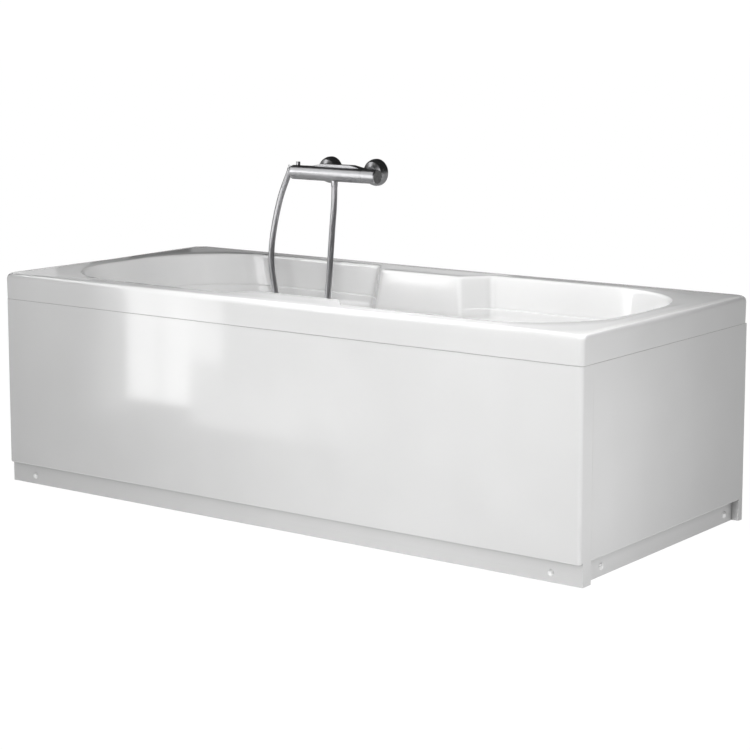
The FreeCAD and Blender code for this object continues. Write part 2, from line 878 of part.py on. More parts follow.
def make_bracket(name, point, turn):
    """An angle bracket from the frame rail down behind the plinth."""
    x, y, z = [as_size(c) for c in point]
    wall = s.bracket_wall
    half = s.bracket_width / 2
    plate_height = rail_bottom - s.bracket_bottom
    tab = s.frame_gap + s.frame_tube
    if name.startswith("front"):
        rear = y + s.panel_wall
        plate = box(name + "_plate", (x - half, rear, s.bracket_bottom), (half * 2, wall, plate_height))
        foot = box(name + "_tab", (x - half, rear, rail_bottom - wall), (half * 2, tab, wall))
    else:
        rear = x - s.panel_wall
        plate = box(name + "_plate", (rear - wall, y - half, s.bracket_bottom), (wall, half * 2, plate_height))
        foot = box(name + "_tab", (rear - tab, y - half, rail_bottom - wall), (tab, half * 2, wall))
    hole = screw_hole(name + "_bracket_hole", inward(point, turn, s.screw_length), turn)
    return cut(name + "_bracket", fuse(name + "_angle", [plate, foot]), [hole])


def make_clips():
    """Blocks under the rim that press the panels' tongues against the skirt."""
    clips = []
    low = deck_under - s.clip_drop
    front_y = -(front_face - tongue_face - s.panel_wall)
    end_x = end_face - tongue_face - s.panel_wall
    for side, sign in (("left", -1), ("middle", 0), ("right", 1)):
        middle = s.clip_spread / 2 * sign
        clips.append(box("front_clip_" + side, (middle - s.clip_width / 2, front_y, low),
                         (s.clip_width, s.clip_depth, s.clip_drop)))
    clips.append(box("end_clip", (end_x - s.clip_depth, -s.clip_width / 2, low),
                     (s.clip_depth, s.clip_width, s.clip_drop)))
    return clips


# Frame: welded square tube under the shell, standing on five levelling feet

rail_bottom = floor_under - s.board_thickness - s.frame_tube * 2
rail_middle = rail_bottom + s.frame_tube / 2
bearer_bottom = rail_bottom + s.frame_tube
half_tube = s.frame_tube / 2
upright_x = end_plinth - s.panel_wall - s.frame_gap - half_tube
upright_y = front_plinth - s.panel_wall - s.frame_gap - half_tube
corner_foot_x = half_length - s.foot_inset


def stud_hole(label, x, y, base):
    """The clearance hole for a foot's stud in the lower wall of a tube."""
    return cylinder(label, (x, y, base - s.tube_wall), s.stud_radius + s.stud_hole_play, s.tube_wall * 3)


def make_frame():
    """Uprights, rails, bearers and the board that carries the tub's floor."""
    for end, x in (("left", -upright_x), ("right", upright_x)):
        for side, y in (("front", -upright_y), ("back", upright_y)):
            square_tube("upright_%s_%s" % (side, end), (x, y, rail_bottom), deck_under - rail_bottom)
        square_tube("rail_" + end, (x, -(upright_y - half_tube), rail_middle),
                    (upright_y - half_tube) * 2, ALONG_Y)
    for side, y in (("front", -upright_y), ("back", upright_y)):
        rail = square_tube("rail_%s_tube" % side, (-(upright_x - half_tube), y, rail_middle),
                           (upright_x - half_tube) * 2, ALONG_X)
        holes = [stud_hole("rail_%s_hole_%s" % (side, end), x, y, rail_bottom)
                 for end, x in (("left", -corner_foot_x), ("right", corner_foot_x))]
        cut("rail_" + side, rail, holes)
    for name, x in (("left", floor_left + s.bearer_from_end), ("right", waste_x - s.bearer_from_waste)):
        square_tube("bearer_" + name, (x, -(upright_y + half_tube), bearer_bottom + half_tube),
                    (upright_y + half_tube) * 2, ALONG_Y)
    middle = square_tube("bearer_middle_tube", (0, -(upright_y + half_tube), bearer_bottom + half_tube),
                         (upright_y + half_tube) * 2, ALONG_Y)
    cut("bearer_middle", middle, [stud_hole("bearer_middle_hole", ZERO, ZERO, bearer_bottom)])
    board_left = floor_left + s.board_from_end
    board_right = waste_x - s.board_from_waste
    box("base_board", (board_left, -s.board_width / 2, floor_under - s.board_thickness),
        (board_right - board_left, s.board_width, s.board_thickness))


def make_feet():
    """Levelling feet on threaded studs, each in a nut welded under its tube."""
    places = [("middle", ZERO, ZERO, bearer_bottom)]
    for end, x in (("left", -corner_foot_x), ("right", corner_foot_x)):
        for side, y in (("front", -upright_y), ("back", upright_y)):
            places.append(("%s_%s" % (side, end), x, y, rail_bottom))
    nuts = []
    for name, x, y, seat in places:
        stud_top = seat + s.stud_engagement
        turned("foot_" + name, [
            (0, 0),
            (s.foot_radius, 0),
            (s.foot_radius, s.foot_thickness * 0.4),
            (s.stud_radius * 2, s.foot_thickness),
            (s.stud_radius, s.foot_thickness),
            (s.stud_radius, stud_top - 1),
            (s.stud_radius - 1, stud_top),
            (0, stud_top),
        ], (x, y, ZERO))
        bottom = seat - s.foot_nut_height
        nut = hexagon(name + "_nut", (x, y, bottom), s.foot_nut_radius, s.foot_nut_height)
        bore = cylinder(name + "_nut_bore", (x, y, bottom), s.stud_radius + s.stud_play, s.foot_nut_height)
        nuts.append(cut(name + "_foot_nut", nut, [bore]))
    group("foot_nuts", nuts)


# Waste and overflow: pop-up plug worked by the overflow knob through a cable

waste_body_top = floor_under - s.seal_thickness
waste_body_bottom = waste_body_top - s.waste_body_height
pipe_height = waste_body_bottom + s.pipe_rise
trap_top = waste_body_bottom - s.trap_nut_height
tail_bottom = trap_top - s.tail_dip
drain_height = s.trap_bottom + s.drain_rise
overflow_z = s.rim_height - s.overflow_drop
overflow_x = opening_right - s.foot_lean * s.overflow_drop / s.ledge_drop
spout_end = overflow_z - s.elbow_radius - s.elbow_spout_length
lean_angle = math.degrees(math.atan2(s.foot_lean.value, s.ledge_drop.value))
INTO_BASIN = Rotation(Vector(0, -1, 0), 90 - lean_angle)


def lean_with_wall(piece):
    """Keep a piece square to the leaning end wall."""
    piece.setExpression("Placement.Rotation.Angle", "90 deg - atan(Sheet.foot_lean / Sheet.ledge_drop)")
    return piece


def make_waste():
    """Flange, seal, plug and the body under the floor."""
    top = s.floor_height
    flange = turned("waste_flange", [
        (s.neck_bore, s.flange_thickness),
        (s.flange_radius - s.flange_thickness, s.flange_thickness),
        (s.flange_radius, 0),
        (s.neck_radius, 0),
        (s.neck_radius, -s.neck_length),
        (s.plug_stem + s.running_play, -s.neck_length),
        (s.plug_stem + s.running_play, s.guide_height - s.neck_length),
        (s.guide_radius, s.guide_height - s.neck_length),
        (s.guide_radius, s.guide_height / 2 - s.neck_length),
        (s.neck_bore, s.guide_height / 2 - s.neck_length),
    ], (waste_x, 0, top))
    ring_of_ports(flange, "waste", s.guide_port, (s.guide_radius + s.neck_bore) / 2, -s.neck_length,
                  s.guide_height)
    turned("waste_seal", [
        (s.neck_radius + s.rest_gap, 0),
        (s.waste_body_radius, 0),
        (s.waste_body_radius, -s.seal_thickness),
        (s.neck_radius + s.rest_gap, -s.seal_thickness),
    ], (waste_x, 0, floor_under))
    seat = s.flange_thickness + s.rest_gap
    turned("waste_plug", [
        (0, seat - s.plug_stem_length),
        (s.plug_stem, seat - s.plug_stem_length),
        (s.plug_stem, seat),
        (s.plug_radius, seat),
        (s.plug_radius, seat + s.plug_thickness / 3),
        (s.plug_radius * 0.6, seat + s.plug_thickness),
        (0, seat + s.plug_thickness),
    ], (waste_x, 0, top))
    make_waste_body()


def make_waste_body():
    """The plastic body with the overflow inlet, the cable boss and the tail."""
    height = s.waste_body_height
    wall = s.trap_wall
    shell = turned("waste_body_shell", [
        (s.neck_radius + s.running_play, height),
        (s.waste_body_radius, height),
        (s.waste_body_radius, 0),
        (s.tail_radius, 0),
        (s.tail_radius, tail_bottom - waste_body_bottom),
        (s.tail_radius - wall, tail_bottom - waste_body_bottom),
        (s.tail_radius - wall, wall),
        (s.neck_radius + s.running_play, wall),
    ], (waste_x, 0, waste_body_bottom))
    spigot = cylinder("overflow_inlet", (waste_x + s.waste_body_radius - wall * 2, 0, pipe_height),
                      s.pipe_spigot, s.pipe_spigot_length + wall * 2, ALONG_X)
    boss = cylinder("cable_inlet", (waste_x + s.neck_radius + wall / 2, s.cable_side, pipe_height),
                    s.cable_boss, s.pipe_spigot_length, ALONG_X)
    bore = cylinder("overflow_inlet_bore", (waste_x + s.neck_radius, 0, pipe_height),
                    s.pipe_radius - wall, s.waste_body_radius + s.pipe_spigot_length, ALONG_X)
    cut("waste_body", fuse("waste_body_outside", [shell, spigot, boss]), [bore])


def make_overflow():
    """Faceplate, turning knob, seal and elbow at the end wall."""
    seat = (overflow_x, ZERO, overflow_z)
    plate = lean_with_wall(turned("overflow_plate", [
        (s.knob_stem + s.running_play, 0),
        (s.faceplate_radius, 0),
        (s.faceplate_radius, s.faceplate_thickness / 2),
        (s.faceplate_radius - s.faceplate_thickness / 2, s.faceplate_thickness),
        (s.knob_stem + s.running_play, s.faceplate_thickness),
    ], seat, INTO_BASIN))
    ring_of_ports(plate, "overflow", s.overflow_slot, (s.knob_stem + s.knob_disc_radius) / 2, ZERO,
                  s.faceplate_thickness)
    plate.Label = "overflow_faceplate"
    knob_seat = s.faceplate_thickness + s.rest_gap
    lean_with_wall(turned("overflow_knob", [
        (0, -s.overflow_neck),
        (s.knob_stem, -s.overflow_neck),
        (s.knob_stem, knob_seat),
        (s.knob_disc_radius, knob_seat),
        (s.knob_disc_radius, knob_seat + s.knob_disc_thickness * 0.8),
        (s.knob_disc_radius * 0.9, knob_seat + s.knob_disc_thickness),
        (0, knob_seat + s.knob_disc_thickness),
    ], seat, INTO_BASIN))
    behind = -(s.shell_wall + s.rest_gap)
    lean_with_wall(turned("overflow_seal", [
        (s.overflow_neck, behind),
        (s.elbow_radius, behind),
        (s.elbow_radius, behind - s.seal_thickness),
        (s.overflow_neck, behind - s.seal_thickness),
    ], seat, INTO_BASIN))
    make_elbow(seat, behind - s.seal_thickness)


def make_elbow(seat, front):
    """The elbow behind the end wall, with a spout for the pipe and a boss for the cable."""
    wall = s.trap_wall
    rear = front - s.elbow_depth
    cup = lean_with_wall(turned("elbow_cup", [
        (s.overflow_neck, front),
        (s.elbow_radius, front),
        (s.elbow_radius, rear),
        (0, rear),
        (0, rear + wall),
        (s.elbow_radius - wall, rear + wall),
        (s.elbow_radius - wall, front - wall),
        (s.overflow_neck, front - wall),
    ], seat, INTO_BASIN))
    spout_top = overflow_z - s.elbow_radius + wall * 3
    spout = cylinder("elbow_spout", (pipe_x, 0, spout_end), s.elbow_spout, spout_top - spout_end)
    boss_top = overflow_z - s.elbow_radius / 2
    boss = cylinder("elbow_cable_boss", (pipe_x, s.cable_side, spout_end + s.elbow_spout), s.cable_boss,
                    boss_top - spout_end - s.elbow_spout)
    bore = cylinder("elbow_spout_bore", (pipe_x, 0, spout_end), s.pipe_radius - wall,
                    overflow_z - s.elbow_radius + wall * 4 - spout_end)
    outside = fuse("elbow_outside", [cup, spout, boss])
    cut("overflow_elbow", outside, [bore])


pipe_x = overflow_x + s.shell_wall + s.seal_thickness + s.elbow_depth / 2


def make_pipe_and_cable():
    """The overflow pipe and the plug's cable, each in one bend behind and under the foot end."""
    x = pipe_x.value
    low = pipe_height.value
    pipe_end = (waste_x + s.waste_body_radius + s.pipe_spigot_length).value
    corner = Vector(x, 0, low)
    tube("overflow_pipe",
         [Vector(x, 0, spout_end.value), corner, Vector(pipe_end, 0, low)],
         [s.pipe_bend.value], s.pipe_radius.value)
    side = s.cable_side.value
    cable_end = (waste_x + s.neck_radius + s.trap_wall / 2 + s.pipe_spigot_length).value
    cable_start = (spout_end + s.elbow_spout).value
    tube("plug_cable",
         [Vector(x, side, cable_start), Vector(x, side, low), Vector(cable_end, side, low)],
         [s.pipe_bend.value], s.cable_radius.value)


def make_trap():
    """The bottle trap with its nut and the drain pipe towards the wall."""
    wall = s.trap_wall
    height = trap_top - s.trap_bottom
    neck_top = height + s.trap_wall * 3
    inner = s.tail_radius + s.rest_gap
    bottle = turned("trap_bottle", [
        (0, 0),
        (s.trap_radius, 0),
        (s.trap_radius, height),
        (s.trap_neck, height),
        (s.trap_neck, neck_top),
        (inner, neck_top),
        (inner, height - wall),
        (s.trap_radius - wall, height - wall),
        (s.trap_radius - wall, wall),
        (0, wall),
    ], (waste_x, 0, s.trap_bottom))
    outlet = cylinder("trap_outlet", (waste_x, 0, drain_height), s.drain_radius - wall,
                      s.trap_radius * 2, ALONG_Y)
    cut("trap_body", bottle, [outlet])
    nut_low = trap_top + s.rest_gap
    nut_high = waste_body_bottom
    turned("trap_nut", [
        (s.trap_neck + s.rest_gap, 0),
        (s.trap_radius, 0),
        (s.trap_radius, nut_high - nut_low),
        (inner, nut_high - nut_low),
        (inner, s.trap_bottom + neck_top - nut_low + s.rest_gap),
        (s.trap_neck + s.rest_gap, s.trap_bottom + neck_top - nut_low + s.rest_gap),
    ], (waste_x, 0, nut_low))
    start = s.trap_radius
    length = s.drain_reach - start
    turned("drain_pipe", [
        (s.drain_radius - wall, 0),
        (s.drain_radius - 1, 0),
        (s.drain_radius - 1, length - s.drain_spigot),
        (s.drain_radius, length - s.drain_spigot),
        (s.drain_radius, length),
        (s.drain_radius - wall, length),
    ], (waste_x, start, drain_height), ALONG_Y)


# Mixer: a thermostatic bar on two wall unions, with the hose at its middle and a holder at its left end

mixer_x = -s.mixer_left
saddle_depth = s.bar_radius + s.saddle_behind
axis_y = half_width - s.rosette_depth - s.union_gap - s.union_nut_length - saddle_depth
axis_z = s.mixer_height
inlet_left = mixer_x - s.inlet_spacing / 2
inlet_right = mixer_x + s.inlet_spacing / 2
bar_left = inlet_left - s.bar_left_margin
bar_right = inlet_right + s.bar_right_margin
bar_length = bar_right - bar_left
handle_radius = s.bar_radius - s.handle_step
outlet_x = mixer_x - s.outlet_offset
saddle_left = bar_left + s.saddle_inset
saddle_length = bar_length - s.saddle_inset * 2
saddle_top = s.bar_radius + s.saddle_top_rise
saddle_bottom = s.bar_radius - s.saddle_bottom_rise
saddle_rear = axis_y + saddle_depth
inlet_end = saddle_rear + s.inlet_length
union_z = axis_z + s.union_rise
INLETS = (("left", inlet_left), ("right", inlet_right))


def make_saddle():
    """The block behind the bar that carries the inlets, its top falling towards both ends."""
    body = new_body("saddle")
    half = saddle_length / 2
    shoulder = half - s.saddle_taper
    fall = saddle_top - s.saddle_taper_drop
    section = draw_outline(new_sketch(body, "saddle_outline", "XZ_Plane", -saddle_depth), [
        (-half, -saddle_bottom),
        (half, -saddle_bottom),
        (half, fall),
        (shoulder, saddle_top),
        (-shoulder, saddle_top),
        (-half, fall),
    ])
    pad(body, "saddle_length", section, saddle_depth)

    def on_rear(bounds):
        return bounds.YMin > saddle_depth.value - 0.01

    round_edges(body, "saddle_rear_rounding", s.saddle_rounding, on_rear)
    return place(body, (saddle_left + half, axis_y, axis_z))


def make_mixer_body():
    """The bar with its rear saddle, two inlets and the hose outlet."""
    bar = cylinder("mixer_bar", (bar_left, axis_y, axis_z), s.bar_radius, bar_length, ALONG_X)
    inlets = [cylinder("inlet_" + side, (x, axis_y, axis_z), s.inlet_radius, inlet_end - axis_y, ALONG_Y)
              for side, x in INLETS]
    outlet_bottom = axis_z - s.bar_radius - s.outlet_length
    outlet = cylinder("outlet", (outlet_x, axis_y, outlet_bottom), s.outlet_radius, s.bar_radius)
    ports = [cylinder("cartridge_port_left", (bar_left, axis_y, axis_z), s.cartridge_radius + s.running_play,
                      s.cartridge_depth, ALONG_X),
             cylinder("cartridge_port_right", (bar_right - s.cartridge_depth, axis_y, axis_z),
                      s.cartridge_radius + s.running_play, s.cartridge_depth, ALONG_X),
             cylinder("outlet_bore", (outlet_x, axis_y, outlet_bottom), s.water_bore, s.bar_radius)]
    cut("mixer_body", fuse("mixer_outside", [bar, make_saddle()] + inlets + [outlet]), ports)


def make_cartridge(label, x, turn):
    """A cartridge in the end of the bar, with the spindle that its handle turns on."""
    turned(label, [
        (0, 0.5),
        (s.cartridge_radius, 0.5),
        (s.cartridge_radius, s.cartridge_depth),
        (s.spindle_radius, s.cartridge_depth),
        (s.spindle_radius, s.cartridge_depth + s.spindle_length),
        (0, s.cartridge_depth + s.spindle_length),
    ], (x, axis_y, axis_z), turn)


def handle_profile(length):
    """The section of an end handle: a cup on a hub, with a rounded end."""
    r = handle_radius
    wall = s.handle_wall
    rounding = s.handle_rounding
    hub = s.spindle_radius + s.running_play
    hub_outside = s.spindle_radius + wall
    depth = s.spindle_length + s.rest_gap
    return [
        (r, 0),
        (r, length - rounding),
        (r - rounding * 0.3, length - rounding * 0.3),
        (r - rounding, length),
        (ZERO, length),
        (ZERO, depth),
        (hub, depth),
        (hub, s.rest_gap),
        (hub_outside, s.rest_gap),
        (hub_outside, depth - wall),
        (r - wall, depth - wall),
        (r - wall, 0),
    ]


def make_handles():
    """The flow handle at the left end and the temperature handle with its stop button at the right."""
    turned("flow_handle", handle_profile(s.flow_handle_length), (bar_left - s.handle_gap, axis_y, axis_z),
           ALONG_MINUS_X)
    handle_x = bar_right + s.handle_gap
    shell = turned("temperature_shell", handle_profile(s.temperature_handle_length), (handle_x, axis_y, axis_z),
                   ALONG_X)
    button_x = handle_x + s.temperature_handle_length * 0.48
    rear = axis_y + handle_radius
    hole = cylinder("button_hole", (button_x, rear - s.handle_wall * 1.5, axis_z),
                    s.button_radius + s.button_play, s.handle_wall * 2, ALONG_Y)
    cut("temperature_handle", shell, [hole])
    turned("stop_button", [
        (0, s.button_proud - s.button_height),
        (s.button_radius, s.button_proud - s.button_height),
        (s.button_radius, s.button_proud - 1),
        (s.button_radius - 1, s.button_proud),
        (0, s.button_proud),
    ], (button_x, rear, axis_z), ALONG_Y)


def make_unions():
    """Wall unions, rosettes, hexagon nuts and washers at the two inlets."""
    nuts = []
    washers = []
    for side, x in INLETS:
        washers.append(turned(side + "_washer", [
            (s.water_bore, 0), (s.inlet_radius, 0),
            (s.inlet_radius, s.washer_thickness), (s.water_bore, s.washer_thickness),
        ], (x, inlet_end, axis_z), ALONG_Y))
        collar = inlet_end + s.washer_thickness
        shoulder = s.union_nut_length - s.inlet_length - s.washer_thickness
        nut = hexagon(side + "_hexagon", (x, saddle_rear + s.rest_gap, axis_z), s.union_nut_radius,
                      s.union_nut_length - s.rest_gap, ALONG_Y)
        thread = cylinder(side + "_nut_thread", (x, saddle_rear, axis_z), s.inlet_radius + s.running_play,
                          s.union_nut_length - shoulder / 2, ALONG_Y)
        mouth = cylinder(side + "_nut_mouth", (x, saddle_rear, axis_z), s.union_radius + s.rest_gap,
                         s.union_nut_length * 2, ALONG_Y)
        nuts.append(cut(side + "_union_nut", nut, [thread, mouth]))
        flange = cylinder(side + "_union_flange", (x, collar, axis_z), s.inlet_radius - s.rest_gap,
                          shoulder / 2 - s.rest_gap, ALONG_Y)
        offset = saddle_rear + s.union_nut_length + s.rest_gap
        front = cylinder(side + "_union_front", (x, collar, axis_z), s.union_radius,
                         offset + s.rest_gap * 2 - collar, ALONG_Y)
        groove = half_width - s.washer_thickness
        rear = cylinder(side + "_union_rear", (x, offset, union_z), s.union_radius, groove - offset, ALONG_Y)
        relief = cylinder(side + "_union_relief", (x, offset, union_z), s.union_radius - 1,
                          half_width + s.washer_thickness - offset, ALONG_Y)
        tail = cylinder(side + "_union_tail", (x, half_width, union_z), s.union_radius, s.union_thread, ALONG_Y)
        bore = cylinder(side + "_union_bore", (x, collar, axis_z + s.union_rise / 2), s.water_bore,
                        half_width + s.union_thread - collar, ALONG_Y)
        cut("wall_union_" + side, fuse(side + "_union_outside", [flange, front, rear, relief, tail]), [bore])
        make_rosette("rosette_" + side, x)
    group("union_nuts", nuts)
    group("union_washers", washers)


def make_rosette(label, x):
    """A domed cover plate on the union, against the wall."""
    r = s.rosette_radius
    depth = s.rosette_depth
    wall = s.handle_wall / 2
    bore = s.union_radius + s.running_play
    turned(label, [
        (r, 0),
        (r, depth * 0.25),
        (r * 0.93, depth * 0.55),
        (r * 0.8, depth * 0.8),
        (s.rosette_nose + wall, depth),
        (bore, depth),
        (bore, depth - s.rosette_hub),
        (s.rosette_nose, depth - s.rosette_hub),
        (r * 0.8 - wall, depth * 0.8 - wall),
        (r * 0.93 - wall, depth * 0.55 - wall),
        (r - wall, depth * 0.25 - wall),
        (r - wall, 0),
    ], (x, half_width, union_z), Rotation(Vector(1, 0, 0), 90))


# Hose: from the outlet down into the basin, one loop on its floor, and up into the holder

HOSE_FLOOR_GAP = 0.2
hose_z = s.floor_height + s.hose_radius + HOSE_FLOOR_GAP
hose_start = axis_z - s.bar_radius - s.outlet_length - s.hose_nut_length
handle_end = bar_left - s.handle_gap - s.flow_handle_length
arm_y = axis_y + s.bar_radius + s.holder_gap
cone_foot = (handle_end - s.cone_gap, arm_y - s.cone_before_arm, axis_z + s.cone_rise)
CONE_AXIS = Vector(8, 9, 29).normalize()

# Steps along the hose: to the right of the outlet in mm, then the share of the way from the tub's
# middle line to the bar, then the share of the way from the basin's floor up to the outlet.
HOSE_STEPS = [
    (0, 1.0, 1.0),
    (0, 1.0, 0.935),
    (5, 0.95, 0.84),
    (19, 0.86, 0.722),
    (40, 0.745, 0.618),
    (53, 0.648, 0.497),
    (58, 0.575, 0.36),
    (60, 0.519, 0.207),
    (60, 0.47, 0.10),
    (59, 0.28, 0),
    (61, -0.05, 0),
    (8, -0.24, 0),
    (-70, -0.24, 0),
    (-118, -0.05, 0),
    (-108, 0.28, 0),
    (-100, 0.47, 0.10),
    (-99, 0.519, 0.207),
    (-100, 0.573, 0.345),
    (-110, 0.642, 0.478),
    (-142, 0.73, 0.571),
    (-171, 0.819, 0.6254),
    (-190, 0.894, 0.7102),
    (-192.5, 0.945, 0.8028),
    (-185, 0.972, 0.8926),
]
LAST_RUN = 50


def hose_points():
    """The hose's route, chosen by hand to follow the photograph above the rim."""
    low = hose_z.value
    rise = hose_start.value - low
    points = [Vector(outlet_x.value + right, axis_y.value * across, low + rise * up)
              for right, across, up in HOSE_STEPS]
    end = Vector(*[c.value for c in cone_foot])
    return points + [end - CONE_AXIS * LAST_RUN, end]


def make_hose():
    """The hose, its nut at the outlet, the conical nut at its far end and the holder."""
    points = hose_points()
    radii = cord_radii(points)
    print("hose bends:", " ".join("%.0f" % radius for radius in radii))
    tube("shower_hose", points, radii, s.hose_radius.value)
    turned("hose_nut", [
        (s.hose_radius * 0.6, 0),
        (s.hose_radius + s.rest_gap, 0),
        (s.hose_nut_radius, s.hose_nut_length * 0.3),
        (s.hose_nut_radius, s.hose_nut_length),
        (s.hose_radius * 0.6, s.hose_nut_length),
    ], (outlet_x, axis_y, hose_start))
    tilt = Rotation(Vector(0, 0, 1), CONE_AXIS)
    turned("hose_cone", [
        (0, 0),
        (s.hose_radius + 0.5, 0),
        (s.cone_top, s.cone_length),
        (s.cone_bore, s.cone_length),
        (s.cone_bore, s.cone_length - s.cone_bore_depth),
        (0, s.cone_length - s.cone_bore_depth),
    ], cone_foot, tilt)
    make_holder(tilt)


def along_cone(distance):
    """A point on the conical nut's axis."""
    return [foot + distance * share for foot, share in zip(cone_foot, CONE_AXIS)]


def make_holder(tilt):
    """A half ring round the conical nut, on an arm behind the flow handle with a clamping knob on top."""
    ring_foot = along_cone((s.cone_length - s.holder_ring_height) / 2)
    ring = cylinder("holder_ring", ring_foot, s.holder_ring, s.holder_ring_height, tilt)
    middle = along_cone(s.cone_length / 2)
    reach = s.holder_ring * 2
    open_side = box("holder_open_side", (middle[0] - reach, middle[1] - reach, middle[2] - reach),
                    (reach, reach * 2, reach * 2))
    half_ring = cut("holder_half_ring", ring, [open_side])
    arm_z = axis_z - s.holder_arm_height / 4
    arm = box("holder_arm_bar", (middle[0], arm_y, arm_z),
              (saddle_left - middle[0] + s.holder_arm, s.holder_arm, s.holder_arm_height))
    knob = cylinder("holder_knob_pin", (handle_end - s.holder_knob_inset, arm_y + s.holder_arm / 2, axis_z),
                    s.holder_knob, s.holder_knob_top)
    room = doc.addObject("Part::Cone", "holder_room")
    bind(room, "Radius1", s.hose_radius + 0.5 + s.rest_gap)
    bind(room, "Radius2", s.cone_top + s.rest_gap)
    bind(room, "Height", s.cone_length)
    place(room, cone_foot, tilt)
    hose_room = cylinder("holder_hose_room", along_cone(-reach), s.hose_radius + 0.5 + s.rest_gap, reach, tilt)
    mate_room = cylinder("holder_mate_room", along_cone(s.cone_length), s.cone_bore + s.rest_gap, reach, tilt)
    fused = fuse("holder_solid", [half_ring, arm, knob])
    saddle_room = box("holder_saddle_room", (saddle_left, axis_y, axis_z - saddle_bottom),
                      (saddle_length, saddle_depth, saddle_bottom + saddle_top))
    cut("hose_holder", fused, [room, hose_room, mate_room, saddle_room])


# The whole tub

make_shell()
make_front_panel()
make_end_panel()
make_panel_fixings()
make_frame()
make_feet()
make_waste()
make_overflow()
make_pipe_and_cable()
make_trap()
make_mixer_body()
make_cartridge("flow_cartridge", bar_left + s.cartridge_depth, ALONG_MINUS_X)
make_cartridge("thermostat_cartridge", bar_right - s.cartridge_depth, ALONG_X)
make_handles()
make_unions()
make_hose()
doc.recompute()

NODES = [
    "tub_shell", "front_panel", "end_panel", "panel_screws", "screw_caps", "plinth_brackets", "panel_clips",
    "upright_front_left", "upright_back_left", "upright_front_right", "upright_back_right",
    "rail_left", "rail_right", "rail_front", "rail_back",
    "bearer_left", "bearer_middle", "bearer_right", "base_board",
    "foot_middle", "foot_front_left", "foot_back_left", "foot_front_right", "foot_back_right", "foot_nuts",
    "waste_flange", "waste_seal", "waste_plug", "waste_body",
    "overflow_faceplate", "overflow_knob", "overflow_seal", "overflow_elbow", "overflow_pipe", "plug_cable",
    "trap_body", "trap_nut", "drain_pipe",
    "mixer_body", "flow_cartridge", "thermostat_cartridge", "flow_handle", "temperature_handle", "stop_button",
    "wall_union_left", "wall_union_right", "rosette_left", "rosette_right", "union_nuts", "union_washers",
    "shower_hose", "hose_nut", "hose_cone", "hose_holder",
]

for item in doc.Objects:
    if "Invalid" in item.State or "Error" in item.State:
        raise RuntimeError("%s failed: %s" % (item.Label, item.State))

pieces = {}
for label in NODES:
    found = doc.getObjectsByLabel(label)
    if len(found) != 1:
        raise RuntimeError("%s names %d objects" % (label, len(found)))
    shape = found[0].Shape
    if shape.isNull() or not shape.isValid():
        raise RuntimeError("%s has no valid shape" % label)
    pieces[label] = shape

os.makedirs("parts", exist_ok=True)
for label, shape in pieces.items():
    shape.exportStep("parts/%s.step" % label)
print("%d nodes written" % len(pieces))
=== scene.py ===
"""Bathtub with apron panels, frame, waste set and wall mixer: looks, light and camera.

Frame: metres, +Z up, +X from the backrest to the foot end, +Y from the open front to the wall.
"""
import json
import math

import bmesh
import bpy
from mathutils import Matrix, Vector


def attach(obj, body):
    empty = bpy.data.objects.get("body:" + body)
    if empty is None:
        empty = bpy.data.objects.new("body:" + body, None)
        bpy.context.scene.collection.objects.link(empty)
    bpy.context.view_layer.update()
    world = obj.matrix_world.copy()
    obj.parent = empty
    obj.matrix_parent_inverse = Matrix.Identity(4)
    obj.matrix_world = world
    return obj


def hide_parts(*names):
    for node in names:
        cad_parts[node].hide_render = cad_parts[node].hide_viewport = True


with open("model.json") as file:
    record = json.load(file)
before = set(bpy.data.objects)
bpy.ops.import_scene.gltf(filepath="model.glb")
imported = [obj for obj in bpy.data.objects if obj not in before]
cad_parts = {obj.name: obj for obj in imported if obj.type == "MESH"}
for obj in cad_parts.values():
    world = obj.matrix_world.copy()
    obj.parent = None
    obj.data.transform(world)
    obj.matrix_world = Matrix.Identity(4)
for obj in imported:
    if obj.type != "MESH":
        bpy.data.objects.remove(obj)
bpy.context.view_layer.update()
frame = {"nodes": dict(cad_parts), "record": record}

NODES = frame["nodes"]
BODY = "tub"

# Camera: the photograph's view, solved from its vanishing points

CAMERA_PLACE = (3.023, -4.031, 1.217)
CAMERA_AZIMUTH = 36.50
CAMERA_PITCH = 8.10
CAMERA_LENS = 100.07
CAMERA_SHIFT = -0.1


def make_camera():
    """The photograph's camera, at the right front and a little above the rim."""
    data = bpy.data.cameras.new("camera")
    data.sensor_width = 36
    data.lens = CAMERA_LENS
    data.shift_y = CAMERA_SHIFT
    data.clip_end = 500
    camera = bpy.data.objects.new("camera", data)
    camera.location = CAMERA_PLACE
    camera.rotation_euler = (math.radians(90 - CAMERA_PITCH), 0, math.radians(CAMERA_AZIMUTH))
    bpy.context.collection.objects.link(camera)
    bpy.context.scene.camera = camera


# Materials

# Reach in metres of the painted shade that darkens the acrylic in its creases and under the plinth step
PAINTED_SHADE_REACH = 0.025
PANEL_EDGE = 0.0002
BROKEN_EDGE = 0.0008
EDGE_ANGLE = 35


def new_material(name):
    """A node material, with its node tree and its main shader."""
    material = bpy.data.materials.new(name)
    material.use_nodes = True
    tree = material.node_tree
    return material, tree, tree.nodes["Principled BSDF"]


def noise(tree, scale, detail=3.0, stretch=(1, 1, 1)):
    """A noise pattern in the object's own metres."""
    place = tree.nodes.new("ShaderNodeTexCoord")
    mapping = tree.nodes.new("ShaderNodeMapping")
    mapping.inputs["Scale"].default_value = stretch
    pattern = tree.nodes.new("ShaderNodeTexNoise")
    pattern.inputs["Scale"].default_value = scale
    pattern.inputs["Detail"].default_value = detail
    tree.links.new(place.outputs["Object"], mapping.inputs["Vector"])
    tree.links.new(mapping.outputs["Vector"], pattern.inputs["Vector"])
    return pattern.outputs["Fac"]


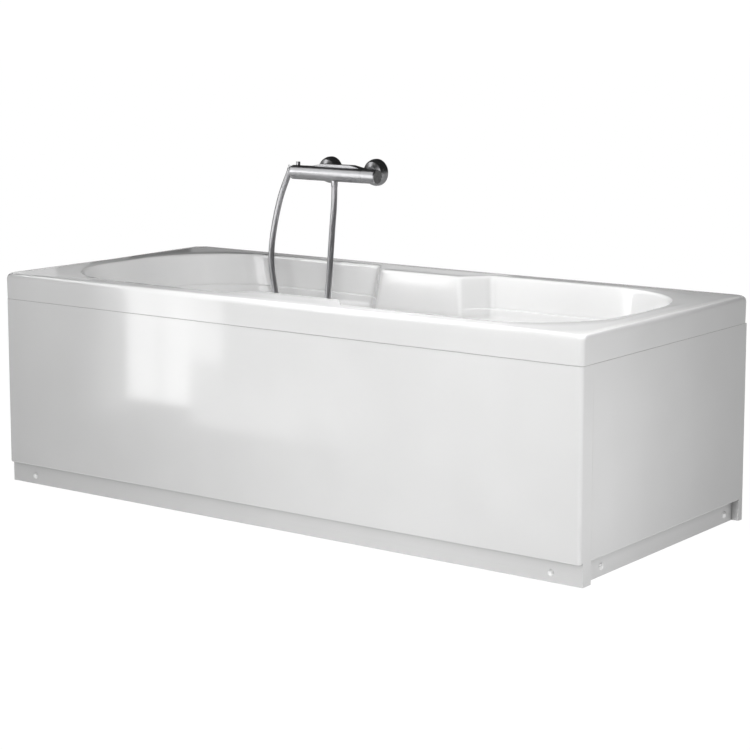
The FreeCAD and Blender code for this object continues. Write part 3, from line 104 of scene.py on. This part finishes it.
def spread(tree, pattern, low, high):
    """A pattern mapped to a range."""
    node = tree.nodes.new("ShaderNodeMapRange")
    node.inputs["From Min"].default_value = 0.3
    node.inputs["From Max"].default_value = 0.7
    node.inputs["To Min"].default_value = low
    node.inputs["To Max"].default_value = high
    tree.links.new(pattern, node.inputs["Value"])
    return node.outputs["Result"]


def tint(tree, shader, pattern, dark, light):
    """The base colour between two shades, by a pattern."""
    node = tree.nodes.new("ShaderNodeMix")
    node.data_type = "RGBA"
    node.inputs[6].default_value = (*dark, 1)
    node.inputs[7].default_value = (*light, 1)
    tree.links.new(spread(tree, pattern, 0, 1), node.inputs[0])
    tree.links.new(node.outputs[2], shader.inputs["Base Color"])
    return node.outputs[2]


def paint_crease_shade(tree, shader, colour, painted_shade, reach):
    """Painted shade: the base colour darkened where the surface's own geometry occludes it, as in creases
    and under the plinth step, within a reach in metres.
    """
    occlusion = tree.nodes.new("ShaderNodeAmbientOcclusion")
    occlusion.samples = 8
    occlusion.only_local = True
    occlusion.inputs["Distance"].default_value = reach
    node = tree.nodes.new("ShaderNodeMix")
    node.data_type = "RGBA"
    node.inputs[6].default_value = (*painted_shade, 1)
    ramp = spread(tree, occlusion.outputs["AO"], 0, 1)
    ramp.node.inputs["From Min"].default_value = 0.4
    ramp.node.inputs["From Max"].default_value = 0.95
    tree.links.new(ramp, node.inputs[0])
    tree.links.new(colour, node.inputs[7])
    tree.links.new(node.outputs[2], shader.inputs["Base Color"])


def bump(tree, shader, pattern, strength, depth):
    """A surface relief of that depth in metres."""
    node = tree.nodes.new("ShaderNodeBump")
    node.inputs["Strength"].default_value = strength
    node.inputs["Distance"].default_value = depth
    tree.links.new(pattern, node.inputs["Height"])
    tree.links.new(node.outputs["Normal"], shader.inputs["Normal"])


def shade(value):
    """A neutral grey."""
    return (value, value, value)


def make_material(name, dark, light, rough, metal=0.0, coat=0.0, grain=40, stretch=(1, 1, 1),
                  relief=0.1, relief_grain=None, depth=0.0005, detail=3.0, painted_shade=None):
    """A material whose shade, roughness and relief vary with noise at a real scale; given a painted shade
    colour, its base colour is also darkened where its own geometry occludes it, as painted shade.
    """
    material, tree, shader = new_material(name)
    pattern = noise(tree, grain, detail, stretch)
    colour = tint(tree, shader, pattern, dark, light)
    # Painted shade: a darker base colour where the surface's own geometry occludes it
    if painted_shade is not None:
        paint_crease_shade(tree, shader, colour, painted_shade, PAINTED_SHADE_REACH)
    tree.links.new(spread(tree, pattern, rough[0], rough[1]), shader.inputs["Roughness"])
    shader.inputs["Metallic"].default_value = metal
    shader.inputs["Coat Weight"].default_value = coat
    shader.inputs["Coat Roughness"].default_value = 0.05
    bump(tree, shader, noise(tree, relief_grain or grain, detail, stretch), relief, depth)
    return material


MATERIALS = {
    # The acrylic carries painted shade: its base colour is darker in its creases and under the plinth step
    "acrylic_white": make_material("acrylic_white", shade(0.57), shade(0.59), (0.09, 0.12), coat=0.2,
                                   grain=6, relief=0.05, relief_grain=2.2, depth=0.004, detail=1.0,
                                   painted_shade=shade(0.24)),
    "cap_white": make_material("cap_white", shade(0.74), shade(0.78), (0.15, 0.22), coat=0.2, grain=60),
    "frame_paint": make_material("frame_paint", shade(0.56), shade(0.62), (0.38, 0.5), grain=90,
                                 relief=0.25, relief_grain=900, depth=0.0002),
    "zinc_steel": make_material("zinc_steel", (0.44, 0.45, 0.46), (0.58, 0.59, 0.60), (0.28, 0.42),
                                metal=1.0, grain=160, relief=0.15),
    "board": make_material("board", (0.42, 0.30, 0.18), (0.62, 0.48, 0.32), (0.7, 0.85), grain=220,
                           stretch=(0.35, 1, 1), relief=0.5, depth=0.0006, detail=6.0),
    "clip_plastic": make_material("clip_plastic", shade(0.58), shade(0.64), (0.45, 0.55), grain=120,
                                  relief=0.2),
    "chrome": make_material("chrome", (0.42, 0.42, 0.43), (0.47, 0.47, 0.48), (0.30, 0.36), metal=1.0,
                            grain=90, relief=0.04, relief_grain=900, depth=0.00005),
    "seal_rubber": make_material("seal_rubber", shade(0.015), shade(0.03), (0.6, 0.75), grain=300,
                                 relief=0.3),
    "pipe_plastic": make_material("pipe_plastic", shade(0.70), shade(0.76), (0.38, 0.48), grain=70,
                                  relief=0.15, relief_grain=500, depth=0.0002),
    "cable_plastic": make_material("cable_plastic", shade(0.03), shade(0.05), (0.45, 0.55), grain=200,
                                   relief=0.2),
    "hose_metal": make_material("hose_metal", (0.38, 0.38, 0.39), (0.42, 0.42, 0.43), (0.30, 0.36),
                                metal=0.85, grain=40, relief=0.04, relief_grain=900, depth=0.00005),
    "cartridge_brass": make_material("cartridge_brass", (0.60, 0.44, 0.18), (0.70, 0.54, 0.24), (0.22, 0.34),
                                     metal=1.0, grain=150),
    "button_plastic": make_material("button_plastic", shade(0.03), shade(0.05), (0.2, 0.28), coat=0.3,
                                    grain=100),
}


def finish_node(name, slot, width):
    """A carried-over CAD node: its material, and edges broken by a small bevel."""
    obj = NODES[name]
    for place in obj.material_slots:
        place.material = MATERIALS[slot]
    edge = obj.modifiers.new("broken_edges", "BEVEL")
    edge.width = width
    edge.segments = 2
    edge.limit_method = "ANGLE"
    edge.angle_limit = math.radians(EDGE_ANGLE)
    edge.harden_normals = False


for part in frame["record"]["subparts"]:
    finish_node(part["node"], part["material_slot"], PANEL_EDGE if "panel" in part["node"] else BROKEN_EDGE)


# Rounded lines: corners drawn as circular arcs between their tangent points

def corner_arc(before, corner, after, reach_in, reach_out, steps):
    """Points of the arc that rounds a corner, by a rational curve with the corner as its control point."""
    back = before - corner
    ahead = after - corner
    start = corner + back.normalized() * reach_in
    end = corner + ahead.normalized() * reach_out
    if back.length < 1e-9 or ahead.length < 1e-9:
        weight = 1.0
    else:
        weight = math.sin(back.angle(ahead) / 2)
    points = []
    for step in range(steps + 1):
        t = step / steps
        a, b, c = (1 - t) ** 2, 2 * t * (1 - t) * weight, t ** 2
        points.append((start * a + corner * b + end * c) / (a + b + c))
    return points


def rounded_line(stations, reaches, steps, spans):
    """An open line through stations, its inner corners rounded; spans divides each straight stretch."""
    line = [stations[0]]
    for i in range(1, len(stations)):
        here = stations[i]
        if i == len(stations) - 1:
            arc = [here]
        else:
            room_in = (stations[i - 1] - here).length * 0.48
            room_out = (stations[i + 1] - here).length * 0.48
            reach = min(reaches[i], room_in, room_out)
            arc = corner_arc(stations[i - 1], here, stations[i + 1], reach, reach, steps)
        last = line[-1]
        for k in range(1, spans[i - 1]):
            line.append(last.lerp(arc[0], k / spans[i - 1]))
        line.extend(arc)
    return line


def rounded_loop(corners, steps, span):
    """A closed outline in the plane from (x, y, reach) corners."""
    points = []
    count = len(corners)
    arcs = []
    for i, (x, y, reach) in enumerate(corners):
        before = Vector(corners[i - 1][:2]).to_3d()
        after = Vector(corners[(i + 1) % count][:2]).to_3d()
        arcs.append(corner_arc(before, Vector((x, y, 0)), after, reach, reach, steps))
    for i, arc in enumerate(arcs):
        points.extend(arc)
        following = arcs[(i + 1) % count][0]
        for k in range(1, span):
            points.append(arc[-1].lerp(following, k / span))
    return points


def mesh_object(name, verts, faces, slot, body=BODY):
    """A smooth-shaded mesh piece that rides on a body."""
    data = bpy.data.meshes.new(name)
    data.from_pydata([tuple(v) for v in verts], [], faces)
    data.validate()
    for face in data.polygons:
        face.use_smooth = True
    obj = bpy.data.objects.new(name, data)
    bpy.context.collection.objects.link(obj)
    data.materials.append(MATERIALS[slot])
    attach(obj, body)
    return obj


# Tub shell: rounded outlines at each level, joined by columns whose corners are rounded too

HALF_LENGTH = 0.850
HALF_WIDTH = 0.375
RIM_HEIGHT = 0.540
SKIRT_FOOT = 0.4752
SKIRT_DRAFT = 0.001
LEDGE_HEIGHT = 0.430
SHOULDER = 0.461
FLOOR_HEIGHT = 0.130
SHELL_WALL = 0.005
WASTE_X = 0.520
WASTE_HOLE = 0.0265
CONSOLE_CORNER = 0.010
OUTLINE_STEPS = 8
OUTLINE_SPANS = 6
COLUMN_STEPS = 6

# From the skirt's foot to the waste: how far each level's edge is rounded, and the strips between levels
COLUMN_REACHES = [0, 0.0004, 0.014, 0.008, 0.0012, 0.0012, 0.022, 0.012, 0.040, 0]
COLUMN_SPANS = [1, 3, 3, 5, 2, 3, 3, 10, 12]


def side_corners(left, right, half_y, corner, console):
    """Corners of one level: four tub corners, and four along each long side for the console."""
    base, face, face_y = console

    def side(sign):
        run = [(-base, half_y), (-face, face_y), (face, face_y), (base, half_y)]
        if sign > 0:
            run = run[::-1]
        return [(x, y * sign, CONSOLE_CORNER) for x, y in run]

    front = [(left, -half_y, corner)] + side(-1) + [(right, -half_y, corner)]
    back = [(right, half_y, corner)] + side(1) + [(left, half_y, corner)]
    return front + back


def flat_console(half_y):
    """Console corners that lie in a straight side."""
    return (0.175, 0.120, half_y)


def level(height, left, right, half_y, corner, console=None):
    """One level of the shell as points in space."""
    corners = side_corners(left, right, half_y, corner, console or flat_console(half_y))
    outline = rounded_loop(corners, OUTLINE_STEPS, OUTLINE_SPANS)
    return [Vector((p.x, p.y, height)) for p in outline]


def waste_ring(outline):
    """The waste hole's edge, each point in line with an outline point."""
    centre = Vector((WASTE_X, 0, FLOOR_HEIGHT))
    return [centre + (p - centre).normalized() * WASTE_HOLE for p in outline]


def make_shell():
    """The acrylic shell, from the skirt's edge over the rim down to the waste hole."""
    floor = level(FLOOR_HEIGHT, -0.500, 0.690, 0.190, 0.110)
    skirt = (SKIRT_DRAFT - HALF_LENGTH, HALF_LENGTH - SKIRT_DRAFT, HALF_WIDTH - SKIRT_DRAFT, 0.011)
    levels = [
        level(SKIRT_FOOT, *skirt),
        level(SKIRT_FOOT + 0.0012, *skirt),
        level(RIM_HEIGHT, -HALF_LENGTH, HALF_LENGTH, HALF_WIDTH, 0.012),
        level(RIM_HEIGHT, -0.778, 0.778, 0.310, 0.240, (0.175, 0.120, 0.245)),
        level(SHOULDER, -0.741, 0.765, 0.2992, 0.229, (0.1836, 0.1286, 0.2364)),
        level(SHOULDER - 0.0015, -0.738, 0.762, 0.2957, 0.226, (0.1840, 0.1290, 0.2362)),
        level(LEDGE_HEIGHT, -0.723, 0.757, 0.2915, 0.222, (0.187, 0.132, 0.233)),
        level(LEDGE_HEIGHT, -0.718, 0.752, 0.215, 0.140),
        floor,
        waste_ring(floor),
    ]
    columns = [rounded_line(list(stations), COLUMN_REACHES, COLUMN_STEPS, COLUMN_SPANS)
               for stations in zip(*levels)]
    rows = len(columns[0])
    count = len(columns)
    verts = [p for column in columns for p in column]
    faces = []
    for i in range(count):
        j = (i + 1) % count
        for k in range(rows - 1):
            faces.append((i * rows + k, j * rows + k, j * rows + k + 1, i * rows + k + 1))
    shell = mesh_object("shell_acrylic", verts, faces, "acrylic_white")
    wall = shell.modifiers.new("wall", "SOLIDIFY")
    wall.thickness = SHELL_WALL
    wall.offset = -1
    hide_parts("tub_shell")


make_shell()


# Hose: the same route as the solid, as one smooth curve

OUTLET = Vector((-0.309, 0.293, 0.773))
HOSE_RADIUS = 0.008
HOSE_FLOOR = FLOOR_HEIGHT + HOSE_RADIUS + 0.0002
HOSE_START = 0.7405
CONE_FOOT = OUTLET + Vector((-0.162, 0.016, 0.001))
CONE_AXIS = Vector((8, 9, 29)).normalized()
LAST_RUN = 0.050

# Steps along the hose: metres to the right of the outlet, then the share of the way from the tub's
# middle line to the bar, then the share of the way from the basin's floor up to the outlet.
HOSE_STEPS = [
    (0, 1.0, 1.0),
    (0, 1.0, 0.935),
    (0.005, 0.95, 0.84),
    (0.019, 0.86, 0.722),
    (0.040, 0.745, 0.618),
    (0.053, 0.648, 0.497),
    (0.058, 0.575, 0.36),
    (0.060, 0.519, 0.207),
    (0.060, 0.47, 0.10),
    (0.059, 0.28, 0),
    (0.061, -0.05, 0),
    (0.008, -0.24, 0),
    (-0.070, -0.24, 0),
    (-0.118, -0.05, 0),
    (-0.108, 0.28, 0),
    (-0.100, 0.47, 0.10),
    (-0.099, 0.519, 0.207),
    (-0.100, 0.573, 0.345),
    (-0.110, 0.642, 0.478),
    (-0.142, 0.73, 0.571),
    (-0.171, 0.819, 0.6254),
    (-0.190, 0.894, 0.7102),
    (-0.1925, 0.945, 0.8028),
    (-0.185, 0.972, 0.8926),
]


def hose_points():
    """The route's control points."""
    rise = HOSE_START - HOSE_FLOOR
    points = [Vector((OUTLET.x + right, OUTLET.y * across, HOSE_FLOOR + rise * up))
              for right, across, up in HOSE_STEPS]
    return points + [CONE_FOOT - CONE_AXIS * LAST_RUN, CONE_FOOT]


def make_hose():
    """The shower hose from the outlet down into the basin and up to the holder."""
    curve = bpy.data.curves.new("hose", "CURVE")
    curve.dimensions = "3D"
    curve.bevel_depth = HOSE_RADIUS
    curve.bevel_resolution = 6
    curve.resolution_u = 10
    curve.use_fill_caps = True
    points = hose_points()
    spline = curve.splines.new("NURBS")
    spline.points.add(len(points) - 1)
    for control, place in zip(spline.points, points):
        control.co = (*place, 1)
    spline.order_u = 3
    spline.use_endpoint_u = True
    spline.use_smooth = True
    hose = bpy.data.objects.new("hose", curve)
    bpy.context.collection.objects.link(hose)
    curve.materials.append(MATERIALS["hose_metal"])
    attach(hose, BODY)
    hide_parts("shower_hose")


make_hose()


# Mixer details

BAR_AXIS = (0.293, 0.773)
HANDLE_END = -0.1679
# A thin near-black disc on the handle's end stands in for the end face's shadow: painted shade
SHADE_DISC_RADIUS = 0.0178
SHADE_DISC_FACE_RADIUS = 0.0172
SHADE_DISC_THICKNESS = 0.0008
SHADE_DISC_OFFSET = 0.0001


def make_end_shade_disc():
    """A thin near-black disc on the temperature handle's end: painted shade for the end face, which faces
    away from the light.
    """
    shape = bmesh.new()
    bmesh.ops.create_cone(shape, cap_ends=True, segments=48, radius1=SHADE_DISC_RADIUS, radius2=SHADE_DISC_FACE_RADIUS,
                          depth=SHADE_DISC_THICKNESS)
    turn = Matrix.Rotation(math.radians(90), 4, "Y")
    place = Matrix.Translation((HANDLE_END + SHADE_DISC_OFFSET, *BAR_AXIS))
    bmesh.ops.transform(shape, matrix=place @ turn, verts=shape.verts)
    data = bpy.data.meshes.new("handle_end_shade_disc")
    shape.to_mesh(data)
    shape.free()
    cap = bpy.data.objects.new("handle_end_shade_disc", data)
    bpy.context.collection.objects.link(cap)
    data.materials.append(MATERIALS["button_plastic"])
    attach(cap, "temperature_handle_body")


make_end_shade_disc()


# Studio: a pale floor with a low backdrop, and soft light

def make_floor():
    """A large pale floor that turns up at its far edge."""
    near, far, wide, rise = -30.0, 45.0, 60.0, 5.0
    outline = [(-wide, near, 0), (wide, near, 0), (wide, far, 0), (-wide, far, 0),
               (wide, far, rise), (-wide, far, rise)]
    turn = Matrix.Rotation(math.radians(CAMERA_AZIMUTH), 3, "Z")
    data = bpy.data.meshes.new("floor")
    data.from_pydata([tuple(turn @ Vector(p)) for p in outline], [], [(0, 1, 2, 3), (3, 2, 4, 5)])
    floor = bpy.data.objects.new("floor", data)
    bpy.context.collection.objects.link(floor)
    material, tree, shader = new_material("floor_pale")
    pattern = noise(tree, 3)
    tint(tree, shader, pattern, shade(0.03), shade(0.04))
    shader.inputs["Roughness"].default_value = 0.8
    shader.inputs["Specular IOR Level"].default_value = 0.0
    shader.inputs["Emission Color"].default_value = (1, 1, 1, 1)
    shader.inputs["Emission Strength"].default_value = 1.0
    data.materials.append(material)
    floor.visible_glossy = False


def area_light(name, place, size, power, target=None, axes=None, mirrored_only=False, unmirrored=False):
    """A soft rectangular light, aimed at a point or set by its own axes."""
    data = bpy.data.lights.new(name, "AREA")
    data.shape = "RECTANGLE"
    data.size, data.size_y = size
    data.energy = power
    light = bpy.data.objects.new(name, data)
    if axes is None:
        turn = (Vector(target) - Vector(place)).to_track_quat("-Z", "Y").to_matrix()
    else:
        along, outward = axes
        up = Vector(along).normalized()
        back = -Vector(outward).normalized()
        side = up.cross(back).normalized()
        turn = Matrix((side, back.cross(side), back)).transposed()
    light.matrix_world = Matrix.Translation(place) @ turn.to_4x4()
    light.visible_camera = False
    light.visible_diffuse = not mirrored_only
    light.visible_glossy = not unmirrored
    bpy.context.collection.objects.link(light)


def card(name, place, size, glow, axes):
    """A glowing rectangle that is seen only as a reflection."""
    area_light(name, place, size, glow * math.pi * size[0] * size[1], axes=axes, mirrored_only=True)


# Ways a card can face: its upright direction, then the direction of its light
TO_WALL = ((0, 0, 1), (0, 1, 0))
TO_FRONT = ((0, 0, 1), (0, -1, 0))
TO_FOOT_END = ((0, 0, 1), (1, 0, 0))
UPWARD = ((0, 1, 0), (0, 0, 1))

WINDOW_Y = -1.2
WINDOW_TOP = 0.9
SILL_TOP = 0.19

# Lights that no surface mirrors: name, place, size, power, target
SOFT_LIGHTS = (
    ("over_rim", (0.45, -0.48, 1.3), (1.5, 0.1), 20.5, (0.5, -0.36, 0.5)),
    ("over_foot_end", (0.75, 0.05, 1.6), (0.5, 0.5), 8.7, (0.74, 0.05, 0.3)),
    ("over_backrest", (-0.75, -0.7, 1.3), (0.5, 0.5), 3.3, (-0.25, 0.28, 0.4)),
    ("low_middle", (0.0, -1.05, 0.15), (0.7, 0.2), 1.3, (0.0, -0.375, 0.2)),
    ("low_right", (0.65, -1.1, 0.15), (0.6, 0.2), 2.0, (0.65, -0.375, 0.2)),
    ("low_end", (1.45, -0.40, 0.25), (0.2, 0.4), 2.35, (0.85, -0.25, 0.25)),
)

# The window mirrored in the front panel: name, left, right, foot, glow
WINDOW_CARDS = (
    ("edge", -1.33, -1.215, 0.0, 1.0),
    ("left_pane", -1.215, -1.10, 0.05, 5.6),
    ("bar", -1.10, -1.065, 0.05, 4.3),
    ("right_pane", -1.065, -0.965, 0.05, 5.6),
    ("short_pane", -0.965, -0.84, SILL_TOP, 4.4),
    ("sill", -0.965, -0.84, 0.0, 2.2),
    ("wall_a", -0.84, -0.70, 0.0, 1.9),
    ("wall_b", -0.70, -0.55, 0.0, 1.5),
    ("wall_c", -0.55, -0.40, 0.0, 1.0),
    ("wall_d", -0.40, -0.25, 0.0, 0.5),
)


def make_lights():
    """Soft lights from the front, from above and along the panels, and the cards."""
    area_light("front", (0.6, -3.2, 1.1), (2.0, 1.5), 21.0, target=(0.3, -0.375, 0.3))
    for name, place, size, power, target in SOFT_LIGHTS:
        area_light(name, place, size, power, target=target, unmirrored=True)
    for name, left, right, low, glow in WINDOW_CARDS:
        high = SILL_TOP if name == "sill" else WINDOW_TOP
        card("window_" + name, ((left + right) / 2, WINDOW_Y, (low + high) / 2), (right - left, high - low),
             glow, TO_WALL)
    card("ground", (0, 0, 0.001), (80, 80), 0.38, UPWARD)
    card("bar_light", (-1.78, -1.66, 1.33), (1.6, 0.3), 4.5, ((0, 0, 1), (0.6, 0.78, -0.2)))
    card("horizon", (-1.2, 2.55, 0.58), (5.6, 0.26), 0.4, TO_FRONT)
    for name, near, far, glow in (("a", 0.13, 0.42, 0.75), ("b", 0.42, 0.57, 0.65), ("c", 0.57, 0.72, 0.4),
                                  ("d", 0.72, 0.9, 0.15)):
        card("left_rim_" + name, (-1.62, (near + far) / 2, 0.68), (far - near, 0.24), glow, TO_FOOT_END)
    for name, left, right, glow in (("left", -2.8, -2.1, 0.3), ("middle", -2.1, -1.2, 0.55)):
        card("back_rim_" + name, ((left + right) / 2, 2.53, 0.86), (right - left, 0.22), glow, TO_FRONT)
    card("strip", (-2.2, -1.2, 2.2), (0.9, 2.9), 2, ((0, 0.61, 0.79), (0.68, 0.53, -0.51)))


def make_world():
    """A dim room all round."""
    world = bpy.data.worlds.new("studio")
    world.use_nodes = True
    background = world.node_tree.nodes["Background"]
    background.inputs["Color"].default_value = (1, 1, 1, 1)
    background.inputs["Strength"].default_value = 0.03
    bpy.context.scene.world = world


make_camera()
make_floor()
make_world()
make_lights()
bpy.context.scene.view_settings.view_transform = "Standard"
